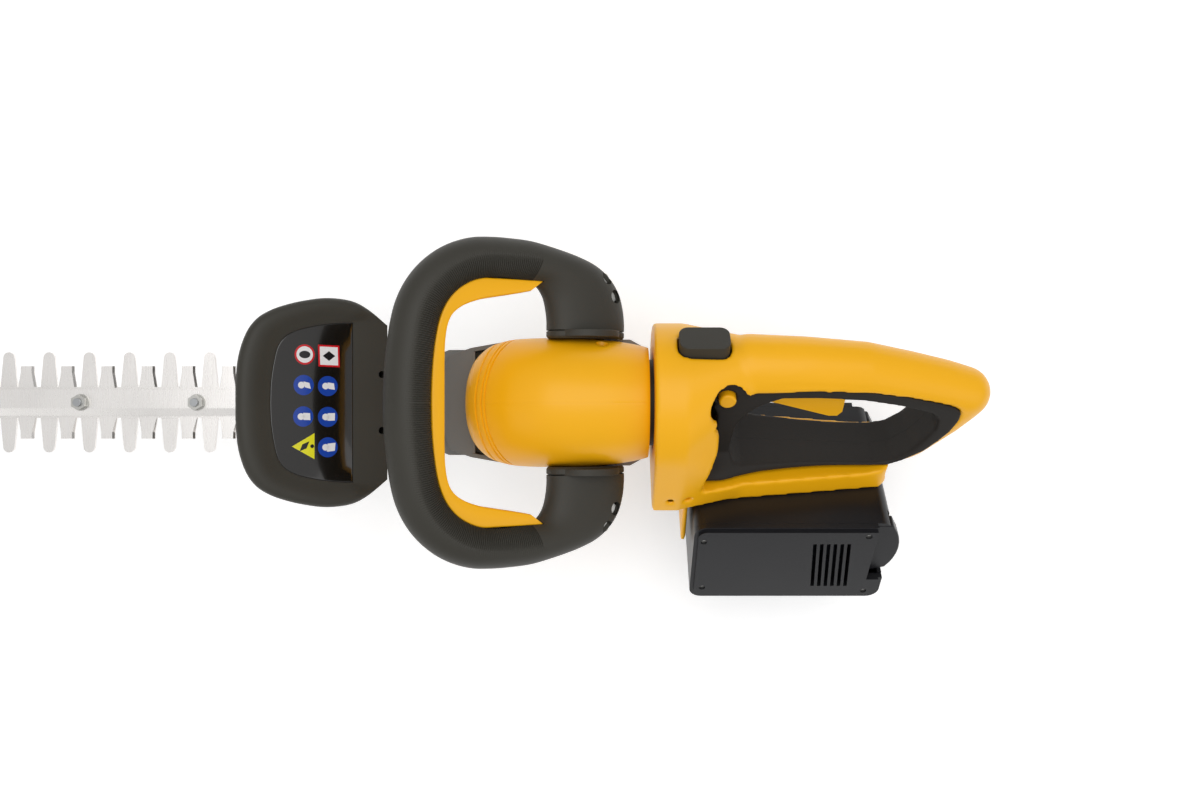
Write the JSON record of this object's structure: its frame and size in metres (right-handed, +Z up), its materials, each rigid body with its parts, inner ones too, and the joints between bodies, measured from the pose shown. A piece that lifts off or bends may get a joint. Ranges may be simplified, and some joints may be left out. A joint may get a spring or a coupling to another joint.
{
  "type": "cordless hedge trimmer",
  "caption": "Battery hedge trimmer with double-acting toothed blades, hand guard, wrap-round front handle, swivelling rear handle and slide-out battery pack.",
  "frame": {"origin": "where the crank axis meets the flat underside of the gear case cover", "axes": "+Z up with the blades level, -X towards the blade tips, +X towards the rear handle; the rear handle is stored swivelled 45 degrees, its top towards +Y"},
  "size_m": [1.0331, 0.2557, 0.228],
  "materials": {
    "yellow_abs": "satin moulded yellow ABS",
    "dark_nylon": "matt dark grey nylon",
    "grey_nylon": "matt mid grey nylon",
    "grip_rubber": "soft overmoulded grip rubber",
    "pack_plastic": "black moulded ABS",
    "cast_case": "die cast aluminium",
    "blade_steel": "ground hardened steel",
    "machined_steel": "machined steel",
    "zinc_screw": "bright zinc plate",
    "copper_winding": "enamelled copper",
    "label_gloss": "gloss black label with plain pictograms",
    "board_green": "solder mask",
    "cell_sleeve": "shrink-sleeved cells"
  },
  "bodies": {
    "housing": {"gear_case": "cast_case", "gear_case_cover": "cast_case", "gear_axle": "machined_steel", "axle_clip": "zinc_screw", "motor_can": "machined_steel", "motor_magnets": "dark_nylon", "bearing_lower": "machined_steel", "bearing_upper": "machined_steel", "guide_bar": "blade_steel", "bar_screws": "zinc_screw", "blade_studs": "machined_steel", "blade_nuts": "zinc_screw", "base_housing": "grey_nylon", "motor_cover_left": "yellow_abs", "motor_cover_right": "yellow_abs", "swivel_hub": "dark_nylon", "guard": "dark_nylon", "guard_label": "label_gloss", "guard_bracket": "grey_nylon", "handle_collars": "dark_nylon", "bale_handle_upper": "dark_nylon", "bale_handle_lower": "dark_nylon", "front_switch": "pack_plastic", "handle_screws": "zinc_screw", "cover_screws": "zinc_screw"},
    "crank": {"crank_gear": "machined_steel"},
    "rotor": {"motor_armature": "copper_winding", "motor_shaft": "machined_steel", "drive_pinion": "machined_steel", "cooling_fan": "dark_nylon"},
    "upper_blade_body": {"upper_blade": "blade_steel"},
    "lower_blade_body": {"lower_blade": "blade_steel"},
    "lever_body": {"front_lever": "yellow_abs", "lever_springs": "zinc_screw"},
    "rear_handle": {"rear_housing_left": "yellow_abs", "rear_housing_right": "yellow_abs", "grip_ring_left": "grip_rubber", "grip_ring_right": "grip_rubber", "trigger_pin": "machined_steel", "main_switch": "pack_plastic", "control_board": "board_green", "terminal_block": "pack_plastic", "rear_screws": "zinc_screw"},
    "trigger_body": {"trigger": "yellow_abs", "trigger_spring": "zinc_screw"},
    "lock_off": {"lock_off_button": "yellow_abs", "lock_off_spring": "zinc_screw"},
    "swivel_lock": {"swivel_lock_button": "dark_nylon", "swivel_lock_spring": "zinc_screw"},
    "battery": {"battery_case": "pack_plastic", "battery_cover_left": "pack_plastic", "battery_cover_right": "pack_plastic", "battery_cells": "cell_sleeve", "battery_board": "board_green", "battery_screws": "zinc_screw"},
    "latch_left": {"battery_latch_left": "pack_plastic"},
    "latch_right": {"battery_latch_right": "pack_plastic"}
  },
  "joints": [
    {"name": "rear_swivel", "type": "hinge", "parent": "housing", "child": "rear_handle", "pos_m": [0.103, 0, 0.06], "axis": [1, 0, 0], "range_deg": [-45, 135]},
    {"name": "trigger_pull", "type": "hinge", "parent": "rear_handle", "child": "trigger_body", "pos_m": [0.174, 0.01838, 0.07838], "axis": [0, -0.7071, 0.7071], "range_deg": [0, 10], "stiffness_Nm_per_rad": 0.6, "springref_deg": -14.32},
    {"name": "lock_off_press", "type": "slide", "parent": "rear_handle", "child": "lock_off", "axis": [0, 0.7071, -0.7071], "range_m": [0, 0.004], "stiffness_N_per_m": 400, "springref_m": -0.004},
    {"name": "swivel_lock_press", "type": "slide", "parent": "rear_handle", "child": "swivel_lock", "axis": [0, -0.7071, -0.7071], "range_m": [0, 0.004], "stiffness_N_per_m": 500, "springref_m": -0.004},
    {"name": "front_lever_press", "type": "slide", "parent": "housing", "child": "lever_body", "axis": [-0.866, 0, 0.5], "range_m": [0, 0.004], "stiffness_N_per_m": 600, "springref_m": -0.004},
    {"name": "battery_slide", "type": "slide", "parent": "rear_handle", "child": "battery", "axis": [1, 0, 0], "range_m": [0, 0.14]},
    {"name": "latch_left_press", "type": "slide", "parent": "battery", "child": "latch_left", "axis": [0, -0.7071, 0.7071], "range_m": [0, 0.003], "stiffness_N_per_m": 500, "springref_m": -0.003},
    {"name": "latch_right_press", "type": "slide", "parent": "battery", "child": "latch_right", "axis": [0, 0.7071, -0.7071], "range_m": [0, 0.003], "stiffness_N_per_m": 500, "springref_m": -0.003},
    {"name": "crank_spin", "type": "hinge", "parent": "housing", "child": "crank", "pos_m": [0, 0, 0.012], "axis": [0, 0, 1], "continuous": true},
    {"name": "rotor_spin", "type": "hinge", "parent": "housing", "child": "rotor", "pos_m": [0.036, 0, 0.05], "axis": [0, 0, 1], "continuous": true},
    {"name": "upper_blade_slide", "type": "slide", "parent": "housing", "child": "upper_blade_body", "axis": [1, 0, 0], "range_m": [-0.0075, 0.0075]},
    {"name": "lower_blade_slide", "type": "slide", "parent": "housing", "child": "lower_blade_body", "axis": [1, 0, 0], "range_m": [-0.0075, 0.0075]}
  ],
  "couplings": [
    {"joint": "rotor_spin", "follows": "crank_spin", "ratio": -5},
    {"joint": "lower_blade_slide", "follows": "upper_blade_slide", "ratio": -1}
  ]
}
